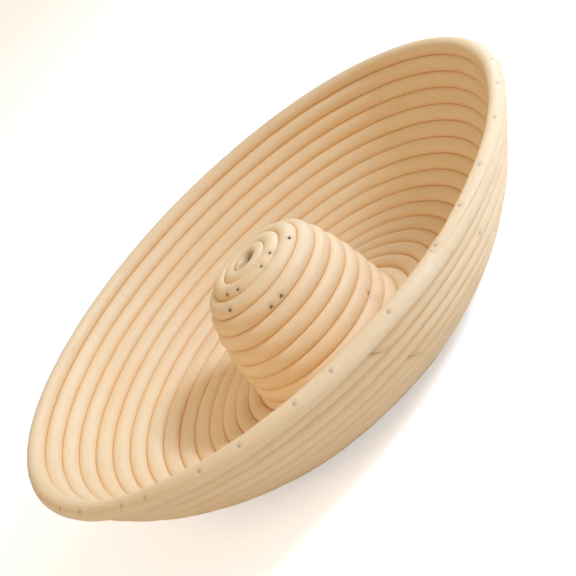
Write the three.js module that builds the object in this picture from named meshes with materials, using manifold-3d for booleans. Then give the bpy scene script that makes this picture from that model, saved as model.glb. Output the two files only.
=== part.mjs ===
// Banneton basket: a round proving basket for a ring loaf, wound from one round peeled cane
// that starts at the top of a central dome, runs down it, crosses the flat floor and climbs
// the flared wall to the rim. The cane is made of several lengths joined end to end at
// slanted scarf joints, and every coil is nailed to the coil before it with thin wire nails.
// Millimetres, +Z up, origin in the resting plane at the centre of the outer box.
// Places along the cane are counted in turns from the top of the dome. At any place, "before"
// is the coil one turn earlier and "coming" the coil one turn later.

import * as THREE from 'three';
import { mergeVertices } from 'three/addons/utils/BufferGeometryUtils.js';
import Module from 'manifold-3d';

const wasm = await Module();
wasm.setup();

const { clamp, degToRad } = THREE.MathUtils;
const FULL_TURN = 2 * Math.PI;

// ---------------------------------------------------------------- cane and spiral
const PITCH = 8.0;              // between the centre lines of neighbouring coils
const GAP = 0.3;                // clearance between neighbouring coils
const CANE = PITCH - GAP;       // cane thickness across flats
const STATIONS = 20;            // section stations per turn
const FIRST_TURN = 4 / STATIONS; // start of the cane; it leaves a small hole in the dome's top
const TOTAL_TURNS = 25.9345;    // free end of the cane, on the rim
const LAST_STATION = Math.ceil(TOTAL_TURNS * STATIONS);
const START_AZIMUTH = 4.7426;   // azimuth of turn 0, radians

// the dome's upper coils are displaced; all three amounts die away over SETTLED turns
const SETTLE = 1.85;            // down the dome, mm along the profile
const LEAN = 0.06;              // slope, down towards -X
const ASIDE = -1.086;           // shift along X
const SETTLED = { from: 3.5, to: 10.8 };

// the rim's free end is planed down to the coil below
const TAPER = 50;               // length of the taper, degrees
const TAPER_END = 0.28;         // share of the thickness left at the very end
const TAPER_WIDTH_POWER = 0.3;  // the width shrinks as this power of the thickness

// ---------------------------------------------------------------- joints and nails
const SCARF = 9.0;              // length of a scarf joint along the cane
const JOINT_GAP = 0.4;          // clearance along the cane at a joint
const NAIL_RADIUS = 0.75;       // shank and head alike
const NAIL_POINT = 1.4;         // length of the pointed end
const NAIL_SIDES = 6;
const NAIL_REACH = 5.9;         // how far a nail goes into the coil before
const NAIL_CLEAR = 0.3;         // clearance of a nail in its hole
const RIM_TILT = 0.2;           // lean of the rim nails towards the outside, radians
const RIM_NAIL_PROUD = 0.15;    // how far a rim nail's top stands out of the cane
const NAIL_SUNK = 0.1;          // how far any other nail's top lies inside the cane

// centre line of the coils: radius and height above the centre of the rim coil, both in
// pitches; the dome from its top down, then the floor, then the wall upwards
const FLOOR = -7.4;
const PROFILE = [
  [0.141, 0.378], [0.41, 0.378], [0.91, 0.379], [1.404, 0.306], [1.878, 0.15],
  [2.315, -0.092], [2.705, -0.404], [3.044, -0.772], [3.331, -1.181], [3.571, -1.619],
  [3.934, -2.55], [4.203, -3.512], [4.424, -4.488], [4.56, -5.6], [4.63, -6.25],
  [4.66, -6.85], [4.75, -7.22], [5.05, FLOOR], [5.6, FLOOR], [6.5, FLOOR],
  [7.35, FLOOR], [8.35, FLOOR], [9.344, -7.253], [10.305, -6.98], [11.216, -6.569],
  [12.065, -6.041], [12.862, -5.438], [13.618, -4.784], [14.329, -4.081], [14.988, -3.329],
  [15.591, -2.531], [16.139, -1.695], [16.671, -0.848], [17.2, 0.0], [17.73, 0.848],
];
const PROFILE_STEPS = 6000;

// the coils round the hole at the top are squeezed together and sunken: how much further out
// and how much higher they stand, in mm, every half turn
const EYE = [
  [1.44, -4.76], [0.39, -4.54], [-0.64, -4.28], [-1.25, -3.69], [-1.14, -2.51],
  [-0.52, -1.23], [0.34, -0.28], [0.81, 0.36], [0.73, 0.52], [0.62, 0.5], [0.5, 0.46],
  [0.48, 0.2], [0.46, -0.06], [0.3, -0.04], [0.15, -0.02], [0, 0], [0, 0],
];

// the cane lengths in order: name, turn at which it ends, colour
const LENGTHS = [
  ['dome_cane', 11.125, 0xecd3ac],
  ['floor_cane', 15.125, 0xe8cda2],
  ['lower_wall_cane', 18.125, 0xe5c898],
  ['middle_wall_cane', 20.965, 0xe2c696],
  ['upper_wall_cane', 23.98, 0xe4ca9c],
  ['rim_cane', TOTAL_TURNS, 0xe8d2a9],
];

// azimuths of the nails in the rim, degrees
const RIM_NAILS = [
  357.5, 346.2, 336.5, 326.0, 314.2, 305.2, 297.0, 283.5, 271.0, 263.5, 252.5, 244.3,
  232.2, 226.2, 213.8, 206.0, 195.0, 184.2, 174.5, 163.0, 151.6, 142.2, 130.4, 120.0,
  108.5, 99.0, 87.6, 77.2, 66.0, 55.4, 44.2, 33.6, 22.1, 10.8,
];
// other nails: the turn of the coil each is driven through, and the angle in radians, round
// the cane from the side facing the coming coil towards the inside of the basket, at which
// it enters
const DOME_NAILS = [
  [1.918, 0.56], [1.984, 0.56], [2.108, 0.56], [2.164, 0.61], [2.849, 0.79], [3.138, 0.87],
  [4.002, 0.56], [4.034, 0.56], [7.869, 0.56],
];
const WALL_NAILS = [[22.901, -0.86]];
// joint nails enter at angle 0; only their turns
const JOINT_NAILS = [
  11.086, 11.166, 15.092, 15.158, 18.097, 18.153, 20.947, 20.983, 23.962, 23.998,
];
// how far the hole stays open above the top of a nail
const HOLE_MOUTH = { rim: 2.5, dome: 1.0, wall: 1.6, joint: 0.3 };

// ---------------------------------------------------------------- spiral centre line
const RIM_HEIGHT = -FLOOR * PITCH + CANE / 2;   // height of the rim coil's centre
const profile = new THREE.CatmullRomCurve3(
  PROFILE.map(([r, z]) => new THREE.Vector3(r * PITCH, z * PITCH + RIM_HEIGHT, 0)),
  false,
  'centripetal',
).getPoints(PROFILE_STEPS);

// distance along the profile to each of its points
const travelled = [0];
for (let i = 1; i < profile.length; i++) {
  travelled.push(travelled[i - 1] + profile[i].distanceTo(profile[i - 1]));
}

// [radius, height] at a distance along the profile; the end segments are extended
function profileAt(distance) {
  let low = 0;
  let high = travelled.length - 1;
  while (high - low > 1) {
    const middle = (low + high) >> 1;
    if (travelled[middle] <= distance) low = middle;
    else high = middle;
  }
  const part = (distance - travelled[low]) / (travelled[high] - travelled[low]);
  const start = profile[low];
  const end = profile[high];
  return [start.x + part * (end.x - start.x), start.y + part * (end.y - start.y)];
}

const between = (start, end) => Math.hypot(end[0] - start[0], end[1] - start[1]);

// distance along the profile of the point exactly one pitch away, found by bisection
function onePitchOn(distance) {
  const start = profileAt(distance);
  let low = distance + 0.5 * PITCH;
  let high = distance + 1.9 * PITCH;
  for (let i = 0; i < 50; i++) {
    const middle = (low + high) / 2;
    if (between(start, profileAt(middle)) < PITCH) low = middle;
    else high = middle;
  }
  return (low + high) / 2;
}

// distance along the profile of each station, before settling; the first turn is spaced
// evenly and every later station lies one pitch from the coil before
const stationDistance = [];
const firstTurnLength = onePitchOn(-SETTLE) + SETTLE;
for (let i = 0; i <= LAST_STATION; i++) {
  stationDistance.push(i <= STATIONS
    ? firstTurnLength * i / STATIONS - SETTLE
    : onePitchOn(stationDistance[i - STATIONS]));
}

const azimuth = (turn) => START_AZIMUTH - FULL_TURN * turn;

// 1 on the upper dome, where the coils are fully displaced, down to 0
const settled = (turn) => clamp((SETTLED.to - turn) / (SETTLED.to - SETTLED.from), 0, 1);

// smooth curve through the rows of EYE
function eyeOffset(turn) {
  const row = clamp(turn * 2, 0, EYE.length - 1);
  const k = Math.min(Math.floor(row), EYE.length - 2);
  const w = row - k;
  const [previous, start, end, following] = [k - 1, k, k + 1, k + 2]
    .map((i) => EYE[clamp(i, 0, EYE.length - 1)]);
  return [0, 1].map((m) => start[m]
    + (end[m] - previous[m]) / 2 * w
    + (previous[m] - 2.5 * start[m] + 2 * end[m] - following[m] / 2) * w * w
    + (1.5 * (start[m] - end[m]) + (following[m] - previous[m]) / 2) * w ** 3);
}

// [radius, height] of the cane's centre after some turns
function coil(turn) {
  const x = clamp(turn * STATIONS, 0, LAST_STATION);
  const i = Math.min(Math.floor(x), LAST_STATION - 1);
  const amount = settled(turn);
  const distance = stationDistance[i]
    + (x - i) * (stationDistance[i + 1] - stationDistance[i]);
  const [radius, height] = profileAt(distance + SETTLE * amount);
  const [out, up] = eyeOffset(turn);
  const alongX = Math.cos(azimuth(turn));
  return [
    radius + out + ASIDE * amount * alongX,
    height + up + LEAN * amount * radius * alongX,
  ];
}

// share of the cane's thickness that is left: less than 1 only on the taper
const thicknessLeft = (turn) => clamp((TOTAL_TURNS - turn) * 360 / TAPER, TAPER_END, 1);

// a length along the cane, in turns
const inTurns = (distance, turn) => distance / (FULL_TURN * coil(turn)[0]);

function place([radius, height], turn) {
  const angle = azimuth(turn);
  return [radius * Math.cos(angle), radius * Math.sin(angle), height];
}

// the station at or before a turn, and how far on towards the next one, 0 to 1
function stationBefore(turn) {
  const x = turn * STATIONS;
  const station = Math.min(Math.floor(x + 1e-9), LAST_STATION - 1);
  return [station, x - station];
}

// ---------------------------------------------------------------- the cane's section
// an octagon with two flats facing the neighbouring coils, each half the gap short of
// midway, so neighbours always keep the same gap; the others stand half a cane from the centre
function section(turn) {
  const centre = coil(turn);
  const before = turn >= 1 ? coil(turn - 1) : null;
  const coming = turn + 1 <= LAST_STATION / STATIONS ? coil(turn + 1) : null;
  const towards = (other) => Math.atan2(other[1] - centre[1], other[0] - centre[0]);
  const reachTo = (other) => (between(centre, other) - GAP) / 2;

  const comingAngle = coming ? towards(coming) : towards(before) + Math.PI;
  let beforeAngle = before ? towards(before) : comingAngle - Math.PI;
  while (beforeAngle < comingAngle) beforeAngle += FULL_TURN;
  while (beforeAngle - comingAngle > FULL_TURN) beforeAngle -= FULL_TURN;

  // directions of the flats: over the side that faces up into the basket, then back under
  const span = beforeAngle - comingAngle;
  const angles = [];
  for (let k = 0; k < 4; k++) angles.push(comingAngle + span * k / 4);
  for (let k = 0; k < 4; k++) angles.push(beforeAngle + (FULL_TURN - span) * k / 4);
  angles.push(comingAngle + FULL_TURN);

  // how far each flat stands from the centre
  const half = CANE / 2;
  const comingReach = coming ? reachTo(coming) : half;
  const beforeReach = before ? reachTo(before) : comingReach;
  const reaches = [
    comingReach, half, half, half, beforeReach, half, half, half, comingReach,
  ];

  const thickness = thicknessLeft(turn);
  const outX = Math.cos(comingAngle);
  const outY = Math.sin(comingAngle);
  const outline = [];
  for (let k = 0; k < 8; k++) {
    // corner where this flat meets the next
    const [angle, nextAngle] = [angles[k], angles[k + 1]];
    const [reach, nextReach] = [reaches[k], reaches[k + 1]];
    const sine = Math.sin(nextAngle - angle);
    let x = (reach * Math.sin(nextAngle) - nextReach * Math.sin(angle)) / sine;
    let y = (nextReach * Math.cos(angle) - reach * Math.cos(nextAngle)) / sine;
    if (thickness < 1) {
      // planed from the free side, the side on the coil before staying where it is
      const out = (x * outX + y * outY + half) * thickness - half;
      const across = (-x * outY + y * outX) * thickness ** TAPER_WIDTH_POWER;
      x = out * outX - across * outY;
      y = out * outY + across * outX;
    }
    outline.push([centre[0] + x, Math.max(centre[1] + y, 0)]);
  }
  return outline;
}

const stationCorners = Array.from({ length: LAST_STATION + 1 }, (_, i) => (
  section(i / STATIONS).map((point) => place(point, i / STATIONS))
));

// a corner of the cane anywhere along it: straight between stations, so that the sides of
// neighbouring coils stay parallel everywhere
function corner(k, turn) {
  const [station, part] = stationBefore(turn);
  const start = stationCorners[station][k];
  const end = stationCorners[station + 1][k];
  return start.map((value, m) => value + part * (end[m] - value));
}

// ---------------------------------------------------------------- solids
function signedVolume(points, triangles) {
  let sum = 0;
  for (const [a, b, c] of triangles) {
    const [p, q, r] = [points[a], points[b], points[c]];
    sum += p[0] * (q[1] * r[2] - q[2] * r[1])
      - p[1] * (q[0] * r[2] - q[2] * r[0])
      + p[2] * (q[0] * r[1] - q[1] * r[0]);
  }
  return sum / 6;
}

// a solid from points and triangles, turned right side out
function solid(points, triangles) {
  const outward = signedVolume(points, triangles) < 0
    ? triangles.map(([a, b, c]) => [a, c, b])
    : triangles;
  return new wasm.Manifold(new wasm.Mesh({
    numProp: 3,
    vertProperties: new Float32Array(points.flat()),
    triVerts: new Uint32Array(outward.flat()),
  }));
}

function fromGeometry(geometry) {
  geometry.deleteAttribute('normal');
  geometry.deleteAttribute('uv');
  const merged = mergeVertices(geometry, 1e-5);
  const position = merged.attributes.position;
  const points = [];
  for (let i = 0; i < position.count; i++) {
    points.push([position.getX(i), position.getY(i), position.getZ(i)]);
  }
  // triangles that collapsed on the lathe's axis are left out
  const triangles = [];
  for (let i = 0; i < merged.index.count; i += 3) {
    const triangle = [...merged.index.array.slice(i, i + 3)];
    if (new Set(triangle).size === 3) triangles.push(triangle);
  }
  return solid(points, triangles);
}

function toGeometry(manifold) {
  const mesh = manifold.getMesh();
  const geometry = new THREE.BufferGeometry();
  const positions = new Float32Array(mesh.vertProperties);
  geometry.setAttribute('position', new THREE.BufferAttribute(positions, 3));
  geometry.setIndex(new THREE.BufferAttribute(new Uint32Array(mesh.triVerts), 1));
  geometry.computeVertexNormals();
  return geometry;
}

// ---------------------------------------------------------------- cane lengths
// how far each corner of the section stands towards the coming coil, -1 to 1
const COMING_SIDE = [1, 0.4, -0.4, -1, -1, -0.4, 0.4, 1];

// one length of cane; a scarf end slants across it, the corners next to the coming coil
// further along the cane than the ones next to the coil before
function caneLength({ start, end, scarfStart, scarfEnd }) {
  const startSlant = scarfStart ? inTurns(SCARF / 2, start) : 0;
  const endSlant = scarfEnd ? inTurns(SCARF / 2, end) : 0;
  const rings = [[start, startSlant]];
  const lastInside = Math.floor(end * STATIONS - 1e-6);
  for (let i = Math.ceil(start * STATIONS + 1e-6); i <= lastInside; i++) {
    rings.push([i / STATIONS, 0]);
  }
  rings.push([end, endSlant]);

  const points = rings.flatMap(([turn, slant]) => (
    COMING_SIDE.map((side, k) => corner(k, turn + slant * side))
  ));
  const triangles = [];
  for (let j = 0; j + 1 < rings.length; j++) {
    for (let k = 0; k < 8; k++) {
      const a = j * 8 + k;
      const b = j * 8 + (k + 1) % 8;
      triangles.push([a, a + 8, b], [b, a + 8, b + 8]);
    }
  }
  const cap = (rings.length - 1) * 8;
  for (let k = 1; k < 7; k++) {
    triangles.push([0, k, k + 1], [cap, cap + k + 1, cap + k]);
  }
  return solid(points, triangles);
}

function makeLengths() {
  let from = FIRST_TURN;
  return LENGTHS.map(([name, to, color], i) => {
    const isFirst = i === 0;
    const isLast = i === LENGTHS.length - 1;
    const body = caneLength({
      start: from + (isFirst ? 0 : inTurns(JOINT_GAP / 2, from)),
      end: to - (isLast ? 0 : inTurns(JOINT_GAP / 2, to)),
      scarfStart: !isFirst,
      scarfEnd: !isLast,
    });
    from = to;
    return { name, color, body };
  });
}

// ---------------------------------------------------------------- nails
// a nail along Y, point down and top at y = 0; its hole is the same shape grown by the
// clearance and open up to y = mouth
function nailSolid({ matrix, depth }, clearance, mouth) {
  const radius = NAIL_RADIUS + clearance;
  const tip = -(depth + clearance);
  const outline = [[0, tip], [radius, tip + NAIL_POINT], [radius, mouth], [0, mouth]]
    .map(([x, y]) => new THREE.Vector2(x, y));
  return fromGeometry(new THREE.LatheGeometry(outline, NAIL_SIDES).applyMatrix4(matrix));
}

// the cane's centre and direction in space
function centreLine(turn) {
  const [station, part] = stationBefore(turn);
  const [start, end] = [station, station + 1]
    .map((i) => new THREE.Vector3(...place(coil(i / STATIONS), i / STATIONS)));
  return { point: start.clone().lerp(end, part), along: end.clone().sub(start).normalize() };
}

// the coil a nail goes through, the centre of the coil before, and directions across the
// cane: angle 0 away from the coil before, positive towards the outside of the basket
function nailSite(turn) {
  const { point, along } = centreLine(turn);
  const before = centreLine(turn - 1).point;
  const away = point.clone().sub(before);
  away.addScaledVector(along, -away.dot(along)).normalize();
  const outside = new THREE.Vector3().crossVectors(along, away);
  if (outside.z > 0) outside.negate();
  const across = (angle) => away.clone()
    .multiplyScalar(Math.cos(angle))
    .addScaledVector(outside, Math.sin(angle));
  return { point, along, before, across };
}

function nailMatrix(along, axis, top) {
  const side = new THREE.Vector3().crossVectors(along, axis);
  return new THREE.Matrix4().makeBasis(along, axis, side).setPosition(top);
}

// a rim nail's axis runs through the centre of the coil it holds, leaned to the outside
function rimNail(degrees) {
  const firstPass = (START_AZIMUTH - degToRad(degrees)) / FULL_TURN;
  const turn = firstPass + Math.floor(TOTAL_TURNS - firstPass);
  const { point, along, across } = nailSite(turn);
  const thickness = thicknessLeft(turn);
  const axis = across(RIM_TILT);
  const rise = (2 * thickness - 1) * CANE / 2 / Math.cos(RIM_TILT) + RIM_NAIL_PROUD;
  const top = point.clone().addScaledVector(axis, rise);
  return {
    matrix: nailMatrix(along, axis, top),
    depth: CANE * thickness + GAP + NAIL_REACH,
  };
}

// any other nail is aimed from where it enters the cane at the centre of the coil before
function aimedNail([turn, entryAngle]) {
  const { point, along, before, across } = nailSite(turn);
  const top = point.clone().addScaledVector(across(-entryAngle), CANE / 2 - NAIL_SUNK);
  const axis = top.clone().sub(before);
  axis.addScaledVector(along, -axis.dot(along));
  const depth = axis.length() + NAIL_REACH - CANE / 2;
  axis.normalize();
  return { matrix: nailMatrix(along, axis, top), depth };
}

// ---------------------------------------------------------------- materials
const caneMaterial = (color) => new THREE.MeshStandardMaterial({
  color,
  roughness: 0.62,
  metalness: 0,
});
const wireMaterial = new THREE.MeshStandardMaterial({
  color: 0x8a8078,
  roughness: 0.45,
  metalness: 0.9,
});

// ---------------------------------------------------------------- assembly
const group = new THREE.Group();

function addMesh(name, body, material) {
  const mesh = new THREE.Mesh(toGeometry(body), material);
  mesh.name = name;
  group.add(mesh);
}

const lengths = makeLengths();
const nails = {
  rim: RIM_NAILS.map(rimNail),
  dome: DOME_NAILS.map(aimedNail),
  wall: WALL_NAILS.map(aimedNail),
  joint: JOINT_NAILS.map((turn) => aimedNail([turn, 0])),
};
for (const [kind, row] of Object.entries(nails)) {
  row.forEach((nail, i) => {
    const hole = nailSolid(nail, NAIL_CLEAR, HOLE_MOUTH[kind]);
    for (const length of lengths) length.body = length.body.subtract(hole);
    const number = String(i + 1).padStart(2, '0');
    addMesh(`${kind}_nail_${number}`, nailSolid(nail, 0, 0), wireMaterial);
  });
}
for (const { name, body, color } of lengths) addMesh(name, body, caneMaterial(color));

// the spiral reaches further out on one side, so the group is moved to put the origin at the
// centre of its outer box
const box = new THREE.Box3().setFromObject(group, true);
group.position.set(-(box.min.x + box.max.x) / 2, -(box.min.y + box.max.y) / 2, 0);

export default group;
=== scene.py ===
"""A round banneton (proving basket) for a ring loaf.

One line of round peeled cane is wound from the top of the central dome, across the floor and up
to the rim, nailed coil to coil. It stands on z = 0 and opens towards +Z, with the spiral's axis
at AXIS. The cane is worked out in millimetres around that axis and scaled to metres when a mesh
is made. A place along the cane is given in turns, counted from the top of the dome.
"""

import math
from collections import namedtuple

import bpy
import numpy as np
from mathutils import Matrix, Vector


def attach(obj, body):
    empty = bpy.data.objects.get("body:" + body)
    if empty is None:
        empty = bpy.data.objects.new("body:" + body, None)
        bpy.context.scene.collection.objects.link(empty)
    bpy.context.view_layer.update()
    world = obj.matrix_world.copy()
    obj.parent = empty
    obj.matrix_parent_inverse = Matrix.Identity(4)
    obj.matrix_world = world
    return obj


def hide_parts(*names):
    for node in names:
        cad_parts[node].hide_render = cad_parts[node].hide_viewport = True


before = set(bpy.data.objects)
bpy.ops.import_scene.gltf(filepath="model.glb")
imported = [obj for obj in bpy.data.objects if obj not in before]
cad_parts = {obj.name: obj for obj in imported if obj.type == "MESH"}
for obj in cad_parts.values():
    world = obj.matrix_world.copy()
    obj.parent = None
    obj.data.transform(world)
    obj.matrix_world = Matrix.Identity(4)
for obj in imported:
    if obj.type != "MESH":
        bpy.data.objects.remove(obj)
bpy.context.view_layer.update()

# ------------------------------------------------------------------ driving dimensions (mm)
PITCH = 8.0               # from coil to coil
CANE_BOX = 7.7            # thickness of the frame's cane, from which the coils' height is counted
R = 4.02                  # radius of the round cane
PRESSED = 1.11            # how much wider the cane would be where its neighbours squeeze it
SLACK = 0.015             # what stays free between coils where they press together
HALF_GAP = 0.11           # half the gap at a joint between two lengths of cane
SCARF = 9.0               # length of the slanting cut at a joint
EDGE_BREAK = 0.28         # how far the cut edges are rounded off
AXIS = np.array([-1.3696, -0.9851, 0.0])     # the spiral's axis in the frame

FIRST_TURN = 0.2          # where the cane begins, in turns
TOTAL = 25.9345           # where it ends
START = 4.7426            # azimuth of turn 0, radians; the winding runs clockwise from above
TAPER = 50.0              # degrees over which the last of the cane thins out
TAPER_END = 0.03          # share of its width left at the very end

SETTLE = 1.85             # how far down the dome its upper coils sit, along the profile
LEAN = 0.06               # slope of the dome's upper coils, down towards -X
ASIDE = -1.086            # how far the upper dome sits to one side, along X
SETTLED = (3.5, 10.8)     # turns between which these three die away

# The coils round the hole at the top are squeezed together and sunken.
# Each half turn from turn 0: how much further out and how much higher they stand.
EYE = np.array([
    [1.44, -4.76], [0.39, -4.54], [-0.64, -4.28], [-1.25, -3.69], [-1.14, -2.51], [-0.52, -1.23],
    [0.34, -0.28], [0.81, 0.36], [0.73, 0.52], [0.62, 0.5], [0.5, 0.46], [0.48, 0.2],
    [0.46, -0.06], [0.3, -0.04], [0.15, -0.02], [0, 0], [0, 0],
])

# Line through the centres of the coils, from the hole to the rim: radius and height, in pitches.
FLOOR_HEIGHT = -7.4
BASE = -FLOOR_HEIGHT * PITCH + CANE_BOX / 2     # height of the profile's zero
PROFILE = [
    [0.141, 0.378], [0.41, 0.378], [0.91, 0.379], [1.404, 0.306], [1.878, 0.15],
    [2.315, -0.092], [2.705, -0.404], [3.044, -0.772], [3.331, -1.181], [3.571, -1.619],
    [3.934, -2.55], [4.203, -3.512], [4.424, -4.488], [4.56, -5.6], [4.63, -6.25],
    [4.66, -6.85], [4.75, -7.22], [5.05, FLOOR_HEIGHT], [5.6, FLOOR_HEIGHT], [6.5, FLOOR_HEIGHT],
    [7.35, FLOOR_HEIGHT], [8.35, FLOOR_HEIGHT], [9.344, -7.253], [10.305, -6.98],
    [11.216, -6.569], [12.065, -6.041], [12.862, -5.438], [13.618, -4.784], [14.329, -4.081],
    [14.988, -3.329], [15.591, -2.531], [16.139, -1.695], [16.671, -0.848], [17.2, 0.0],
    [17.73, 0.848],
]
PROFILE_STEPS = 6000

# name, turn it ends at, warmth and lightness of its colour; on top of each length's own tone, the
# lengths deep in the bowl are warmer and darker as painted shade and bounce light
CANES = [
    ("dome_cane", 11.125, -0.06, 1.0),
    ("floor_cane", 15.125, 0.34, 0.96),
    ("lower_wall_cane", 18.125, 0.26, 0.98),
    ("middle_wall_cane", 20.965, 0.12, 0.985),
    ("upper_wall_cane", 23.98, 0.04, 0.99),
    ("rim_cane", TOTAL, -0.04, 0.985),
]

# azimuth of each nail in the rim, degrees
RIM_NAILS = [
    357.5, 346.2, 336.5, 326.0, 314.2, 305.2, 297.0, 283.5, 271.0, 263.5, 252.5, 244.3,
    232.2, 226.2, 213.8, 206.0, 195.0, 184.2, 174.5, 163.0, 151.6, 142.2, 130.4, 120.0,
    108.5, 99.0, 87.6, 77.2, 66.0, 55.4, 44.2, 33.6, 22.1, 10.8,
]
RIM_ENTRY = -0.2
# turn of the coil each nail holds, and where it enters: radians round the cane from the side of
# the coming coil, towards the inside of the basket
DOME_NAILS = [
    (1.918, 0.56), (1.984, 0.56), (2.108, 0.56), (2.164, 0.61), (2.849, 0.79), (3.138, 0.87),
    (4.002, 0.56), (4.034, 0.56), (7.869, 0.56),
]
WALL_NAILS = [(22.901, -0.86)]
JOINT_NAILS = [11.086, 11.166, 15.092, 15.158, 18.097, 18.153, 20.947, 20.983, 23.962, 23.998]

# by kind of nail, mm: head radius, how far the head is sunk (below 0), width of the dent it
# makes; and how dark the dirt in the dent is. Joint nails make no dent.
HEAD_RADIUS = {"rim": 0.72, "dome": 0.76, "wall": 0.8, "joint": 0.7}
HEAD_LIFT = {"rim": -0.12, "dome": -0.16, "wall": -0.14, "joint": -0.1}
DENT_WIDTH = {"rim": 1.0, "dome": 1.2, "wall": 1.1}
DENT_DIRT = {"rim": 0.25, "dome": 0.5, "wall": 0.3}
NAIL_DEPTH = 13.5         # length of a nail through the full cane
NAIL_DEPTH_THIN = 5.9     # and where the cane has tapered to nothing

STEPS_A_TURN = 60         # places worked out on each turn of the spiral
CANE_SIDES = 40
NAIL_SIDES = 20
CAP_RINGS = (0.66, 0.33)  # rings in the cane's end faces, as shares of the way out


# ------------------------------------------------------------------ the spiral
def catmull(points, steps):
    """Centripetal Catmull-Rom curve through the points."""
    points = np.asarray(points, float)
    padded = [2 * points[0] - points[1], *points, 2 * points[-1] - points[-2]]
    spans = len(points) - 1
    curve = []
    for i in range(steps + 1):
        place = spans * i / steps
        k = min(int(place), spans - 1)
        w = place - k
        p0, p1, p2, p3 = padded[k:k + 4]
        d0 = ((p0 - p1) ** 2).sum() ** 0.25
        d1 = ((p1 - p2) ** 2).sum() ** 0.25
        d2 = ((p2 - p3) ** 2).sum() ** 0.25
        t1 = ((p1 - p0) / d0 - (p2 - p0) / (d0 + d1) + (p2 - p1) / d1) * d1
        t2 = ((p2 - p1) / d1 - (p3 - p1) / (d1 + d2) + (p3 - p2) / d2) * d1
        square = (-3 * p1 + 3 * p2 - 2 * t1 - t2) * w * w
        curve.append(p1 + t1 * w + square + (2 * p1 - 2 * p2 + t1 + t2) * w ** 3)
    return np.array(curve)


CURVE = catmull(np.asarray(PROFILE) * PITCH + [0, BASE], PROFILE_STEPS)
ARC = np.r_[0, np.cumsum(np.hypot(*np.diff(CURVE, axis=0).T))]


def on_profile(arc):
    """(radius, height) at a length along the profile, straight on before its start."""
    p = np.stack([np.interp(arc, ARC, CURVE[:, 0]), np.interp(arc, ARC, CURVE[:, 1])], -1)
    return p + np.minimum(arc, 0)[..., None] * (CURVE[1] - CURVE[0]) / ARC[1]


def following(arc):
    """The places one pitch further along the profile, by bisection."""
    p = on_profile(arc)
    low, high = arc + 0.5 * PITCH, np.minimum(arc + 1.9 * PITCH, ARC[-1])
    for _ in range(45):
        middle = (low + high) / 2
        near = np.hypot(*(on_profile(middle) - p).T) < PITCH
        low, high = np.where(near, middle, low), np.where(near, high, middle)
    return (low + high) / 2


def wind():
    """Turns, and the length along the profile reached at each."""
    first = following(np.array([-SETTLE]))[0] + SETTLE
    rows = [first * np.arange(STEPS_A_TURN) / STEPS_A_TURN - SETTLE]
    for _ in range(int(TOTAL) + 1):
        rows.append(following(rows[-1]))
    arcs = np.concatenate(rows)
    turns = np.arange(len(arcs)) / STEPS_A_TURN
    reached = arcs < ARC[-1] - 1e-3
    return turns[reached], arcs[reached]


WOUND_TURNS, WOUND_ARCS = wind()


def settled(t):
    return np.clip((SETTLED[1] - t) / (SETTLED[1] - SETTLED[0]), 0, 1)


def eye(t):
    """What the coils round the hole differ by, smoothly between the half turns of EYE."""
    last = len(EYE) - 1
    x = np.clip(t * 2, 0, last)
    k = np.minimum(x.astype(int), last - 1)
    w = (x - k)[..., None]
    a, b, c, d = EYE[np.maximum(k - 1, 0)], EYE[k], EYE[k + 1], EYE[np.minimum(k + 2, last)]
    square = (a - 2.5 * b + 2 * c - d / 2) * w ** 2
    return b + (c - a) / 2 * w + square + (1.5 * (b - c) + (d - a) / 2) * w ** 3


def coil(t):
    """Centre (radius, height) of the cane after t turns, for an array of turns."""
    p = on_profile(np.interp(t, WOUND_TURNS, WOUND_ARCS) + SETTLE * settled(t))
    along_x = np.cos(START - 2 * np.pi * t)
    e = eye(t)
    p[..., 1] += LEAN * settled(t) * p[..., 0] * along_x + e[..., 1]
    p[..., 0] += e[..., 0] + ASIDE * settled(t) * along_x
    return p


def coil_at(t):
    """The same for a single turn."""
    return coil(np.array([t]))[0]


def in_space(t, radius, height):
    """Points at turns t, from radii and heights."""
    azimuth = START - 2 * np.pi * t
    return np.stack([radius * np.cos(azimuth), radius * np.sin(azimuth), height], -1)


def centre_at(t):
    """Centre of the cane in space at a single turn."""
    radius, height = coil_at(t)
    azimuth = START - 2 * math.pi * t
    return np.array([radius * math.cos(azimuth), radius * math.sin(azimuth), height])


RUN_TURNS = np.arange(0, TOTAL + 0.001, 1 / 240)
RUN_POINTS = in_space(RUN_TURNS, *coil(RUN_TURNS).T)
RUN_LENGTHS = np.r_[0, np.cumsum(np.linalg.norm(np.diff(RUN_POINTS, axis=0), axis=1))]


def run(t):
    """Length of cane used up to turn t, in mm."""
    return np.interp(t, RUN_TURNS, RUN_LENGTHS)


def turn_at(length):
    return np.interp(length, RUN_LENGTHS, RUN_TURNS)


# ------------------------------------------------------------------ small irregularities, seeded
def wander(seed, wavelength):
    """A smooth irregular function of length along the cane: four octaves of paired waves."""
    rng = np.random.RandomState(seed)
    waves = [(2 ** octave / wavelength * rng.uniform(0.75, 1.3),
              rng.uniform(0, 2 * np.pi),
              rng.uniform(0.6, 1) / 1.5 ** octave)
             for octave in range(4) for _ in (0, 1)]
    norm = math.sqrt(sum(size * size for _, _, size in waves) / 2)

    def value(s):
        return sum(size * np.sin(2 * np.pi * s * rate + phase)
                   for rate, phase, size in waves) / norm
    return value


thickness = wander(seed=11, wavelength=210)
oval = wander(seed=12, wavelength=160)
sway = wander(seed=13, wavelength=130)          # how far each coil sits in or out of line
tone_slow = wander(seed=14, wavelength=900)
tone_fast = wander(seed=15, wavelength=170)


# ------------------------------------------------------------------ the cane's section
THICKNESS_CHANGE = 0.006  # share of the radius
OVAL_CHANGE = 0.007       # share of the radius
SWAY = 0.1                # mm
WORN_INSIDE = 0.20        # share of the radius sanded off inside the basket
WORN_OUTSIDE = 0.22       # and outside, on the wall only
GROOVE_WIDTH = 0.3        # how soon the groove's colour fades away from a contact


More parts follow.
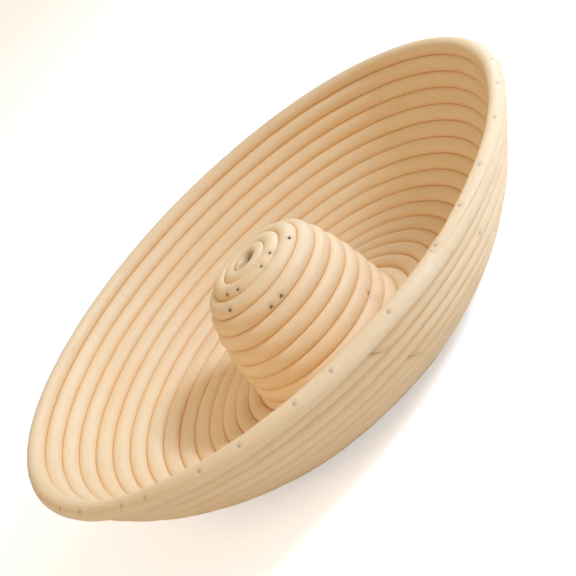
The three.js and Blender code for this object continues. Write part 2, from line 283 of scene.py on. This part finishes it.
def width_left(t):
    """Share of the cane's width left by the taper at its end."""
    return np.clip((TOTAL - t) * 360 / TAPER, TAPER_END, 1)


def directions(t):
    """Angle in the (radius, height) plane to the next coil, how much further round the coil
    before lies, and the distance to the contact with each."""
    p = coil(t)
    q = coil(t + 1) - p
    out = np.arctan2(q[..., 1], q[..., 0])
    touch_out = np.hypot(q[..., 0], q[..., 1]) / 2 - SLACK
    q = coil(np.maximum(t - 1, 0)) - p
    back = np.where(t >= 1, np.arctan2(q[..., 1], q[..., 0]), out - np.pi)
    touch_back = np.where(t >= 1, np.hypot(q[..., 0], q[..., 1]) / 2 - SLACK, touch_out)
    # past the last coil that is covered, the far side is simply opposite
    out = np.where(t > TOTAL - 1.02, back + np.pi, out)
    return out, (back - out) % (2 * np.pi), touch_out, touch_back


def worn(t, from_inside):
    """The crowns are sanded down: share of the radius left at an angle from straight inside."""
    n = np.cos(from_inside)
    below_rim = np.clip((TOTAL - 0.9 - t) / 0.8, 0, 1)
    on_wall = np.clip((t - 15.5) / 1.5, 0, 1)
    keep = np.where(n > 0, 1 - WORN_INSIDE * below_rim, 1 - WORN_OUTSIDE * below_rim * on_wall)
    return 1 / np.sqrt(1 + (1 / keep ** 2 - 1) * n * n)


def surface(t, u, trim):
    """Points on the cane at turn t and share u of the way round: 0 faces the next coil, .25
    faces into the basket, .5 faces the coil before. Also returns what the material reads:
    place in the cane (m), nearness to a groove, and how far it faces into the basket."""
    centre = coil(t)
    out, span, touch_out, touch_back = directions(t)
    angle = np.where(u <= 0.5, out + span * u * 2,
                     out + span + (2 * np.pi - span) * (u * 2 - 1))
    s = run(t)
    to_next = np.cos(angle - out)
    to_before = np.cos(angle - out - span)
    has_next, has_before = t < TOTAL - 1.0, t >= 1

    # pressed against its neighbours the cane is a little wider than it is high
    facing = np.maximum(np.where(has_next, to_next, 0), np.where(has_before, to_before, 0))
    press = np.maximum(facing, 0) ** 2
    rad = (R - trim) / np.sqrt(press / PRESSED ** 2 + 1 - press)
    rad = rad * worn(t, angle - out - span / 2)
    rad = rad * (1 + THICKNESS_CHANGE * thickness(s) + OVAL_CHANGE * oval(s) * np.cos(2 * angle))
    rad = np.where(has_next & (to_next > 0.5),
                   np.minimum(rad, touch_out / np.maximum(to_next, 0.5)), rad)
    rad = np.where(to_before > 0.5,
                   np.minimum(rad, touch_back / np.maximum(to_before, 0.5)), rad)

    # the taper leaves the side that lies on the coil before
    section_x, section_y = rad * np.cos(angle - out), rad * np.sin(angle - out)
    w = width_left(t)
    x = np.where(w < 1, (section_x + R) * w - R, section_x)
    y = np.where(w < 1, section_y * w ** 0.3, section_y)
    shift = SWAY * sway(s) * np.clip((t - 0.2) / 0.5, 0, 1)
    inward = out + span / 2
    radius = centre[..., 0] + (x * np.cos(out) - y * np.sin(out) + shift * np.cos(inward))
    height = centre[..., 1] + (x * np.sin(out) + y * np.cos(out) + shift * np.sin(inward))
    points = in_space(t, radius, np.maximum(height, 0.0))

    # nearness to a contact; the material paints groove shade and bounce light by it, with some
    # real brown
    groove = np.maximum(np.where(has_next, np.exp(-((1 - to_next) / GROOVE_WIDTH)), 0),
                        np.where(has_before, np.exp(-((1 - to_before) / GROOVE_WIDTH)), 0))
    inside = np.sin(angle - out) * 0.5 + 0.5
    cane = np.stack([s, section_x, section_y], -1) / 1000
    return points, cane, groove, inside


def section_frame(t):
    """At turn t: the cane's centre and the one a turn before, the direction along the cane,
    towards the next coil, and into the basket."""
    centre, before = centre_at(t), centre_at(t - 1)
    along = centre_at(t + 1e-3) - centre_at(t - 1e-3)
    along /= np.linalg.norm(along)
    outward = centre - before
    outward -= along * (outward @ along)
    outward /= np.linalg.norm(outward)
    into = np.cross(outward, along)
    out, span, _, _ = directions(np.array([t]))
    inward = out[0] + span[0] / 2
    azimuth = START - 2 * math.pi * t
    radial = np.array([math.cos(azimuth), math.sin(azimuth), 0])
    if into @ (radial * math.cos(inward) + np.array([0, 0, 1]) * math.sin(inward)) < 0:
        into = -into
    return centre, before, along, outward, into


# ------------------------------------------------------------------ where the nails are
# head: where the head sits; axis: the direction it is driven from; along: the cane's direction
Nail = namedtuple("Nail", "name turn kind head axis along")


def place_nail(kind, number, t, entry):
    centre, before, along, outward, into = section_frame(t)
    axis = outward * math.cos(entry) + into * math.sin(entry)
    if kind == "rim":
        head = centre + axis * ((2 * float(width_left(np.array(t))) - 1) * R)
    else:
        turns = np.array([t])
        span = directions(turns)[1]
        share = float(worn(turns, np.array([entry]) - span / 2)[0])
        head = centre + axis * ((R if kind != "joint" else R - 0.15) * share)
        axis = (head - before) / np.linalg.norm(head - before)
    return Nail(f"{kind}_nail_{number:02d}", t, kind, head, axis, along)


def rim_turn(azimuth):
    """The last turn at which the cane passes an azimuth in degrees."""
    t = (START - azimuth * math.pi / 180) / (2 * math.pi)
    return t + math.floor(TOTAL - t)


NAILS = [
    place_nail(kind, number, t, entry)
    for kind, places in (
        ("rim", [(rim_turn(azimuth), RIM_ENTRY) for azimuth in RIM_NAILS]),
        ("dome", DOME_NAILS),
        ("wall", WALL_NAILS),
        ("joint", [(t, 0.0) for t in JOINT_NAILS]),
    )
    for number, (t, entry) in enumerate(places, 1)
]


# ------------------------------------------------------------------ cane meshes
def stations(t0, t1):
    """Turns of the rings of a length of cane, closer together at the nails and the ends."""
    s0, s1 = run(t0), run(t1)
    s, places = s0, [s0]
    while s < s1:
        s += min(3.4, max(0.55, coil_at(turn_at(s))[0] * 0.08))
        places.append(s)
    places = [v for v in places if v < s1 - 0.8] + [s1]
    for nail in NAILS:
        if t0 < nail.turn < t1 and nail.kind != "joint":
            places += [run(nail.turn) + k * 0.34 for k in range(-7, 8)]
    places = [v for v in places if s0 <= v <= s1]
    for inset in (0.12, 0.35, 0.8):
        places += [s0 + inset, s1 - inset]
    places.sort()
    keep = [places[0]]
    for v in places[1:]:
        if v - keep[-1] > 0.1:
            keep.append(v)
    if keep[-1] < s1:
        keep[-1] = s1
    return turn_at(np.array(keep))


def dent_at_nails(points, stain, t0, t1):
    """Sinks and dirties the cane round each nail head, in place."""
    for nail in NAILS:
        if nail.kind == "joint" or not (t0 - 0.01 < nail.turn < t1 + 0.01):
            continue
        rng = np.random.RandomState(1000 + int(nail.turn * 977))
        width = DENT_WIDTH[nail.kind] * rng.uniform(0.9, 1.15)
        dirt = DENT_DIRT[nail.kind] * rng.uniform(0.7, 1.0)
        near = np.abs(points - nail.head).sum(1) < 9
        q = points[near] - nail.head
        d = np.linalg.norm(q - np.outer(q @ nail.axis, nail.axis), axis=1)
        on_face = (q @ nail.axis) > -2.5
        sink = 0.34 * np.exp(-(d / (0.95 * width)) ** 2) * on_face
        swell = 0.05 * np.exp(-((d - 1.9 * width) / 0.6) ** 2) * on_face
        points[near] += np.outer(swell - sink, nail.axis)
        dirty = np.exp(-(d / (1.25 * width)) ** 2) * on_face * dirt
        stain[near] = np.maximum(stain[near], dirty)


def cap_points(ring):
    """A ring drawn in to its middle, in steps."""
    middle = ring.mean(0)
    rings = [middle + (ring - middle) * share for share in CAP_RINGS]
    return np.concatenate(rings + [middle[None]])


def cap_faces(edge, start, flip):
    """Faces of an end, from the cane's last ring inwards; its own points begin at start."""
    faces, previous = [], edge
    for _ in CAP_RINGS:
        ring = np.arange(start, start + CANE_SIDES)
        quads = np.stack([previous, ring, np.roll(ring, -1), np.roll(previous, -1)], -1)
        faces += (quads[:, ::-1] if flip else quads).tolist()
        previous = ring
        start += CANE_SIDES
    middle = np.full(CANE_SIDES, start)
    triangles = np.stack([previous, middle, np.roll(previous, -1)], -1)
    return faces + (triangles[:, ::-1] if flip else triangles).tolist()


def cane_mesh(name, t0, t1, joint0, joint1):
    """A length of cane; joint0 and joint1 tell whether each end is cut slanting for a joint."""
    ts = stations(t0, t1)
    n = len(ts)
    s = run(ts)
    from_start, from_end = s - s[0], s[-1] - s
    ends = ((joint0, from_start), (joint1, from_end))

    # rings near a joint slant like its cut
    u = np.arange(CANE_SIDES) / CANE_SIDES
    side = np.cos(2 * np.pi * u)
    t_after, t_before = np.minimum(ts + 1e-3, TOTAL), ts - 1e-3
    lean = SCARF / 2 / ((run(t_after) - run(t_before)) / (t_after - t_before))
    slanted = ts[:, None]
    for joint, d in ends:
        if joint:
            ramp = np.clip(1 - d / 18, 0, 1) ** 1.6
            slanted = slanted + (ramp * lean)[:, None] * side
    slanted = np.clip(slanted + np.zeros(CANE_SIDES), 0, TOTAL)
    # the cut edges are slightly broken
    trim = sum(EDGE_BREAK * np.clip(1 - d / 0.3, 0, 1) ** 2 for _, d in ends)
    points, cane, groove, inside = surface(slanted, u, trim[:, None])

    cut = np.zeros((n, CANE_SIDES))
    cut[[0, -1]] = 1
    # a joint is darker round its gap, and the hole the cane starts from is dark inside, which is
    # painted shade
    stain = np.zeros((n, CANE_SIDES))
    for joint, d in ends:
        if joint:
            stain = np.maximum(stain, 0.42 * np.exp(-(d / 1.1) ** 2)[:, None])
    hole = np.clip((1.35 - ts) / 0.4, 0, 1)[:, None] * np.clip(-side * 1.6 - 0.3, 0, 1)[None]
    stain = np.maximum(stain, 0.55 * hole).reshape(-1)
    points = points.reshape(-1, 3)
    dent_at_nails(points, stain, t0, t1)

    grid = np.arange(n * CANE_SIDES).reshape(n, CANE_SIDES)
    shifted = np.roll(grid, -1, 1)
    faces = np.stack([grid[:-1], shifted[:-1], shifted[1:], grid[1:]], -1).reshape(-1, 4).tolist()
    ring_points = len(CAP_RINGS) * CANE_SIDES
    vertices = [points]
    values = {"cane": [cane.reshape(-1, 3)], "groove": [groove.reshape(-1)], "stain": [stain],
              "cut": [cut.reshape(-1)], "inside": [inside.reshape(-1)]}
    for k, flip in ((0, False), (n - 1, True)):
        faces += cap_faces(grid[k], sum(map(len, vertices)), flip)
        vertices.append(cap_points(points[grid[k]]))
        values["cane"].append(cap_points(cane[k]))
        values["groove"].append(np.zeros(ring_points + 1))
        values["stain"].append(np.r_[np.full(ring_points, 0.1), 0.0])
        values["cut"].append(np.ones(ring_points + 1))
        values["inside"].append(np.full(ring_points + 1, 0.5))
    values = {key: np.concatenate(parts) for key, parts in values.items()}
    length = values["cane"][:, 0] * 1000
    tone = 0.5 + 0.17 * tone_slow(length) + 0.11 * tone_fast(length)
    values["tone"] = np.clip(tone, 0, 1)

    # turn all faces round if the first looks towards the cane's centre
    V = (np.concatenate(vertices) + AXIS) / 1000
    corner, second, third = V[faces[0][:3]]
    normal = np.cross(second - corner, third - corner)
    if normal @ (corner - (centre_at(ts[0]) + AXIS) / 1000) < 0:
        faces = [face[::-1] for face in faces]

    mesh = bpy.data.meshes.new(name)
    mesh.from_pydata(V.tolist(), [], faces)
    mesh.polygons.foreach_set("use_smooth", np.ones(len(mesh.polygons), bool))
    for key, array in values.items():
        kind, field = ("FLOAT_VECTOR", "vector") if key == "cane" else ("FLOAT", "value")
        attribute = mesh.attributes.new(key, kind, "POINT")
        attribute.data.foreach_set(field, array.astype(np.float32).ravel())
    # the edges of the cut ends are crisp
    edges = np.zeros(len(mesh.edges) * 2, np.int32)
    mesh.edges.foreach_get("vertices", edges)
    edges = edges.reshape(-1, 2)
    in_last = (edges >= grid[-1, 0]) & (edges <= grid[-1, -1])
    sharp = (edges < CANE_SIDES).all(1) | in_last.all(1)
    mesh.attributes.new("sharp_edge", "BOOLEAN", "EDGE").data.foreach_set("value", sharp)
    mesh.update()
    mesh.validate()
    return mesh


# ------------------------------------------------------------------ nail meshes
def nail_mesh(nail):
    rng = np.random.RandomState(5000 + sum(map(ord, nail.name)))
    head = HEAD_RADIUS[nail.kind] * rng.uniform(0.9, 1.1)
    tilt = rng.uniform(-0.12, 0.12, 2)
    dents = rng.uniform(-1, 1, 6)
    share = float(width_left(np.array(nail.turn)))
    depth = NAIL_DEPTH * share + NAIL_DEPTH_THIN * (1 - share)
    # radius and height: shank with a cut point, neck, and a slightly domed hammered head
    profile = [
        (0.0, -depth), (0.22, -depth + 0.55), (0.52, -depth + 1.5), (0.53, -6.0), (0.53, -1.2),
        (0.56, -0.62), (0.70 * head, -0.42), (0.94 * head, -0.34), (1.0 * head, -0.24),
        (0.99 * head, -0.12), (0.93 * head, -0.03), (0.75 * head, 0.035), (0.45 * head, 0.06),
        (0.0, 0.07),
    ]
    vertices, rows = [], []
    for radius, height in profile:
        if radius == 0:
            rows.append([len(vertices)] * NAIL_SIDES)
            vertices.append((0.0, height, 0.0))
            continue
        rows.append(range(len(vertices), len(vertices) + NAIL_SIDES))
        for side in range(NAIL_SIDES):
            a = 2 * math.pi * side / NAIL_SIDES
            r, y = radius, height
            if height > -0.5:
                r *= 1 + 0.035 * (dents[0] * math.cos(2 * a) + dents[1] * math.sin(3 * a)
                                  + dents[2] * math.cos(5 * a))
                y += 0.03 * (dents[3] * math.cos(a)
                             + dents[4] * math.sin(2 * a)) * min(1, radius / head)
            vertices.append((r * math.cos(a), y, r * math.sin(a)))
    # at the two poles the repeated corner drops out and leaves a triangle
    faces = [tuple(dict.fromkeys((low[i], high[i], high[j], low[j])))
             for low, high in zip(rows[:-1], rows[1:])
             for i, j in ((i, (i + 1) % NAIL_SIDES) for i in range(NAIL_SIDES))]
    V = np.array(vertices)
    # only the head leans; the shank stays on the nail's axis
    lean = np.clip((V[:, 1] + 0.7) / 0.5, 0, 1)
    V[:, 1] += lean * (V[:, 0] * tilt[0] + V[:, 2] * tilt[1])

    z = np.cross(nail.along, nail.axis)
    z /= np.linalg.norm(z)
    x = np.cross(nail.axis, z)
    V = nail.head + V[:, :1] * x + (V[:, 1:2] + HEAD_LIFT[nail.kind]) * nail.axis + V[:, 2:] * z
    mesh = bpy.data.meshes.new(nail.name)
    mesh.from_pydata(((V + AXIS) / 1000).tolist(), [], faces)
    mesh.polygons.foreach_set("use_smooth", np.ones(len(mesh.polygons), bool))
    mesh.update()
    return mesh


# ------------------------------------------------------------------ materials
class Shader:
    """A material under construction; each method adds a node and returns its output."""

    def __init__(self, name):
        self.material = bpy.data.materials.new(name)
        self.material.use_nodes = True
        self.tree = self.material.node_tree
        self.tree.nodes.clear()
        self.output = self.tree.nodes.new("ShaderNodeOutputMaterial")

    def add(self, kind, inputs=None, output=0, **props):
        node = self.tree.nodes.new("ShaderNode" + kind)
        for key, value in props.items():
            setattr(node, key, value)
        for key, value in (inputs or {}).items():
            if isinstance(value, bpy.types.NodeSocket):
                self.tree.links.new(value, node.inputs[key])
            else:
                node.inputs[key].default_value = value
        return node.outputs[output]

    def attribute(self, name, output="Fac"):
        return self.add("Attribute", output=output, attribute_name=name)

    def math(self, operation, a, b, clamp=False):
        return self.add("Math", {0: a, 1: b}, operation=operation, use_clamp=clamp)

    def noise(self, at, stretch, detail, rough, offset=(0, 0, 0), distortion=0.0):
        at = self.add("VectorMath", {0: at, 1: stretch}, operation="MULTIPLY")
        at = self.add("VectorMath", {0: at, 1: offset}, operation="ADD")
        return self.add("TexNoise", {"Vector": at, "Scale": 1.0, "Detail": detail,
                                     "Roughness": rough, "Distortion": distortion})

    def band(self, value, low, high, to=(0.0, 1.0)):
        """Maps low..high to the range `to`."""
        return self.add("MapRange", {"Value": value, "From Min": low, "From Max": high,
                                     "To Min": to[0], "To Max": to[1]})

    def mix(self, factor, a, b):
        # the colour sockets of a Mix node are inputs 6 and 7, output 2
        return self.add("Mix", {0: factor, 6: a, 7: b}, output=2, data_type="RGBA")

    def finish(self, surface_output):
        self.tree.links.new(surface_output, self.output.inputs["Surface"])
        return self.material


def rgb(r, g, b):
    return (r, g, b, 1.0)


TAN = rgb(0.72, 0.47, 0.23)
VEIN_BROWN = rgb(0.62, 0.40, 0.19)
PORE_BROWN = rgb(0.40, 0.24, 0.11)
# painted shade and bounce light in the grooves, with some real brown
GROOVE_SHADE_AND_DIRT_AMBER = rgb(0.90, 0.585, 0.265)
CUT_PALE = rgb(0.86, 0.68, 0.45)
# real dirt round the nails, darkening round the joints, and painted shade inside the hole at the
# top
STAIN_AND_SHADE_BROWN = rgb(0.34, 0.22, 0.11)


def cane_material(name, warmth, light, seed):
    """Peeled cane, grained along its length; seed moves the grain."""
    k = Shader(name)
    place = k.attribute("cane", "Vector")

    def grain(along, across, detail, rough, distortion=0.0):
        return k.noise(place, (along, across, across), detail, rough,
                       offset=(seed * 3.7, seed * 1.3, seed * 2.1), distortion=distortion)

    streak = grain(along=70, across=1900, detail=4, rough=0.6)
    fine = grain(along=190, across=5200, detail=3, rough=0.6)
    mottle = grain(along=22, across=150, detail=4, rough=0.6, distortion=0.4)
    pore = grain(along=420, across=6500, detail=2, rough=0.5)
    vein = grain(along=16, across=900, detail=2, rough=0.5)
    tone, groove, stain, cut = map(k.attribute, ("tone", "groove", "stain", "cut"))

    cream = rgb(0.90 * light, 0.725 * light, 0.475 * light)
    honey = rgb(0.85 * light, 0.625 * light, 0.36 * light)
    # random tone along the cane plus each length's warmth, which deep in the bowl is painted
    # shade and bounce light
    base = k.mix(k.math("ADD", k.math("MULTIPLY", tone, 0.7), warmth), cream, honey)
    for pattern, low, high, most, colour in (
        (mottle, 0.36, 0.72, 0.42, honey),
        (streak, 0.5, 0.74, 0.30, TAN),
        (fine, 0.45, 0.8, 0.22, TAN),
        (vein, 0.64, 0.76, 0.30, VEIN_BROWN),
        (pore, 0.66, 0.74, 0.5, PORE_BROWN),
    ):
        base = k.mix(k.band(pattern, low, high, to=(0.0, most)), base, colour)
    # painted shade and warm bounce light in the grooves, stronger inside the basket, together
    # with real brown that the crowns have been sanded free of
    groove_shade_and_dirt = k.math("MULTIPLY", groove, k.band(mottle, 0.3, 0.7, to=(0.35, 0.7)))
    inside = k.band(k.attribute("inside"), 0.3, 0.8, to=(0.7, 1.0))
    base = k.mix(k.math("MULTIPLY", groove_shade_and_dirt, inside), base, GROOVE_SHADE_AND_DIRT_AMBER)
    base = k.mix(k.math("MULTIPLY", cut, 0.35), base, CUT_PALE)
    # darkening round nails and joints, and painted shade inside the hole at the top
    base = k.mix(k.math("MULTIPLY", stain, 0.7), base, STAIN_AND_SHADE_BROWN)

    rough = k.band(streak, 0.3, 0.75, to=(0.42, 0.58))
    rough = k.math("ADD", rough, k.math("MULTIPLY", groove, 0.14), clamp=True)
    height = k.math("ADD", k.math("MULTIPLY", streak, 0.55), k.math("MULTIPLY", fine, 0.45))
    pits = k.math("MULTIPLY", k.band(pore, 0.64, 0.74), 0.5)
    height = k.math("SUBTRACT", height, pits)
    bump = k.add("Bump", {"Strength": 0.35, "Distance": 0.00022, "Height": height})
    return k.finish(k.add("BsdfPrincipled", {
        "Base Color": base, "Roughness": rough, "Normal": bump,
        "IOR": 1.46, "Specular IOR Level": 0.42}))


def wire_material(name, dark, rusty, bright, metal):
    k = Shader(name)
    place = k.add("TexCoord", output="Object")
    rust = k.noise(place, (1400, 1400, 1400), detail=4, rough=0.6)
    fine = k.noise(place, (5200, 5200, 5200), detail=3, rough=0.6)
    colour = k.mix(k.band(rust, 0.42, 0.62), dark, rusty)
    colour = k.mix(k.band(fine, 0.5, 0.8, to=(0, 0.5)), colour, bright)
    bump = k.add("Bump", {"Strength": 0.4, "Distance": 0.0001, "Height": fine})
    return k.finish(k.add("BsdfPrincipled", {
        "Base Color": colour, "Metallic": k.band(rust, 0.42, 0.62, to=(metal, metal / 3)),
        "Roughness": k.band(rust, 0.4, 0.65, to=(0.45, 0.72)), "Normal": bump}))


def floor_material():
    k = Shader("pale_floor")
    cloud = k.noise(k.add("TexCoord", output="Object"), (3, 3, 3), detail=3, rough=0.5)
    colour = k.mix(k.band(cloud, 0.3, 0.7), rgb(0.90, 0.90, 0.90), rgb(0.92, 0.92, 0.92))
    matt = k.add("BsdfPrincipled", {"Base Color": colour, "Roughness": 0.85,
                                    "Specular IOR Level": 0.1})
    # what the camera sees of it is lifted towards white, as on a light table
    glow = k.add("Emission", {"Color": rgb(1, 1, 1), "Strength": 0.50})
    lifted = k.add("AddShader", {0: matt, 1: glow})
    seen = k.add("LightPath", output="Is Camera Ray")
    return k.finish(k.add("MixShader", {0: seen, 1: matt, 2: lifted}))


# ------------------------------------------------------------------ the pieces
scene = bpy.context.scene


def add_object(name, mesh, material):
    obj = bpy.data.objects.new(name, mesh)
    obj.data.materials.append(material)
    scene.collection.objects.link(obj)
    return obj


def add_piece(name, mesh, material):
    obj = add_object("look_" + name, mesh, material)
    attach(obj, "root")
    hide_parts(name)


def gap_at(t):
    """Half the gap at a joint, in turns."""
    return HALF_GAP / (2 * math.pi * coil_at(t)[0])


t_from = FIRST_TURN
for i, (name, t_to, warmth, light) in enumerate(CANES):
    first, last = i == 0, i == len(CANES) - 1
    mesh = cane_mesh(name, t_from + (0 if first else gap_at(t_from)),
                     t_to - (0 if last else gap_at(t_to)), joint0=not first, joint1=not last)
    material = cane_material("peeled_" + name, warmth, light, seed=i + 1)
    add_piece(name, mesh, material)
    t_from = t_to

steel = wire_material("wire_nail_steel", dark=rgb(0.20, 0.15, 0.10), rusty=rgb(0.22, 0.13, 0.07),
                      bright=rgb(0.30, 0.23, 0.16), metal=0.5)
# sanded over together with the rim
sanded = wire_material("wire_nail_sanded", dark=rgb(0.52, 0.45, 0.34),
                       rusty=rgb(0.52, 0.41, 0.28), bright=rgb(0.62, 0.54, 0.41), metal=0.15)
for nail in NAILS:
    material = sanded if nail.kind in ("rim", "wall") else steel
    add_piece(nail.name, nail_mesh(nail), material)

# ------------------------------------------------------------------ floor, world and lights
FLOOR_HALF, FLOOR_Z = 12, -0.0002     # metres
floor_mesh = bpy.data.meshes.new("floor")
corners = [(x * FLOOR_HALF, y * FLOOR_HALF, FLOOR_Z)
           for x, y in ((-1, -1), (1, -1), (1, 1), (-1, 1))]
floor_mesh.from_pydata(corners, [], [(0, 1, 2, 3)])
add_object("floor", floor_mesh, floor_material())


def add_world():
    """A warm fill; the camera sees a plain pale backdrop instead of it."""
    world = bpy.data.worlds.new("studio")
    world.use_nodes = True
    tree = world.node_tree
    fill = tree.nodes["Background"]
    fill.inputs["Color"].default_value = (1.24, 1.0, 0.68, 1)
    fill.inputs["Strength"].default_value = 0.405
    pale = tree.nodes.new("ShaderNodeBackground")
    pale.inputs["Color"].default_value = (1.0, 0.995, 0.985, 1)
    pale.inputs["Strength"].default_value = 0.94
    path = tree.nodes.new("ShaderNodeLightPath")
    either = tree.nodes.new("ShaderNodeMixShader")
    tree.links.new(path.outputs["Is Camera Ray"], either.inputs[0])
    tree.links.new(fill.outputs[0], either.inputs[1])
    tree.links.new(pale.outputs[0], either.inputs[2])
    tree.links.new(either.outputs[0], tree.nodes["World Output"].inputs[0])
    scene.world = world


add_world()
scene.view_settings.view_transform = "Standard"
scene.view_settings.look = "None"
scene.view_settings.exposure = 0.0

LIGHT_AIM = Vector((0, 0, 0.04))


def area(name, where, size, power, colour):
    """A square area light aimed at the basket."""
    light = bpy.data.lights.new(name, "AREA")
    light.shape, light.size, light.size_y = "RECTANGLE", size, size
    light.energy, light.color = power, colour
    obj = bpy.data.objects.new(name, light)
    obj.location = where
    obj.rotation_mode = "QUATERNION"
    obj.rotation_quaternion = (LIGHT_AIM - Vector(where)).to_track_quat("-Z", "Y")
    scene.collection.objects.link(obj)


area("key", where=(0.985, -0.438, 0.727), size=0.24, power=8.9, colour=(0.82, 1.07, 1.52))
area("side", where=(0.903, 0.757, 0.549), size=0.6, power=4.8, colour=(0.84, 1.02, 1.26))
area("back", where=(-0.704, -0.591, 0.919), size=0.6, power=2.3, colour=(1.12, 1.02, 1.08))

# ------------------------------------------------------------------ camera
CAMERA_ROLL, CAMERA_TILT = math.radians(42.961), math.radians(-69.428)
# where the profile's zero on the spiral's axis lies in the camera's own axes, in pitches
ZERO_FROM_CAMERA = Vector((-3.996, -3.354, -78.593))

to_camera = Matrix.Rotation(CAMERA_ROLL, 3, "Z") @ Matrix.Rotation(CAMERA_TILT, 3, "X")
to_world = to_camera.transposed()
profile_zero = Vector((AXIS[0] / 1000, AXIS[1] / 1000, BASE / 1000))
place = -(to_world @ ZERO_FROM_CAMERA) * (PITCH / 1000) + profile_zero
lens = bpy.data.cameras.new("camera")
camera = bpy.data.objects.new("camera", lens)
camera.matrix_world = Matrix.Translation(place) @ to_world.to_4x4()
lens.sensor_width = 36.0
lens.lens = 87.0016875
lens.shift_x = -0.0548732639
lens.shift_y = -0.1550121528
lens.clip_start, lens.clip_end = 0.01, 100
focus = bpy.data.objects.new("focus", None)
focus.location = (0.0, -0.02, 0.055)
scene.collection.objects.link(focus)
lens.dof.use_dof = True
lens.dof.focus_object = focus
lens.dof.aperture_fstop = 22
scene.collection.objects.link(camera)
scene.camera = camera
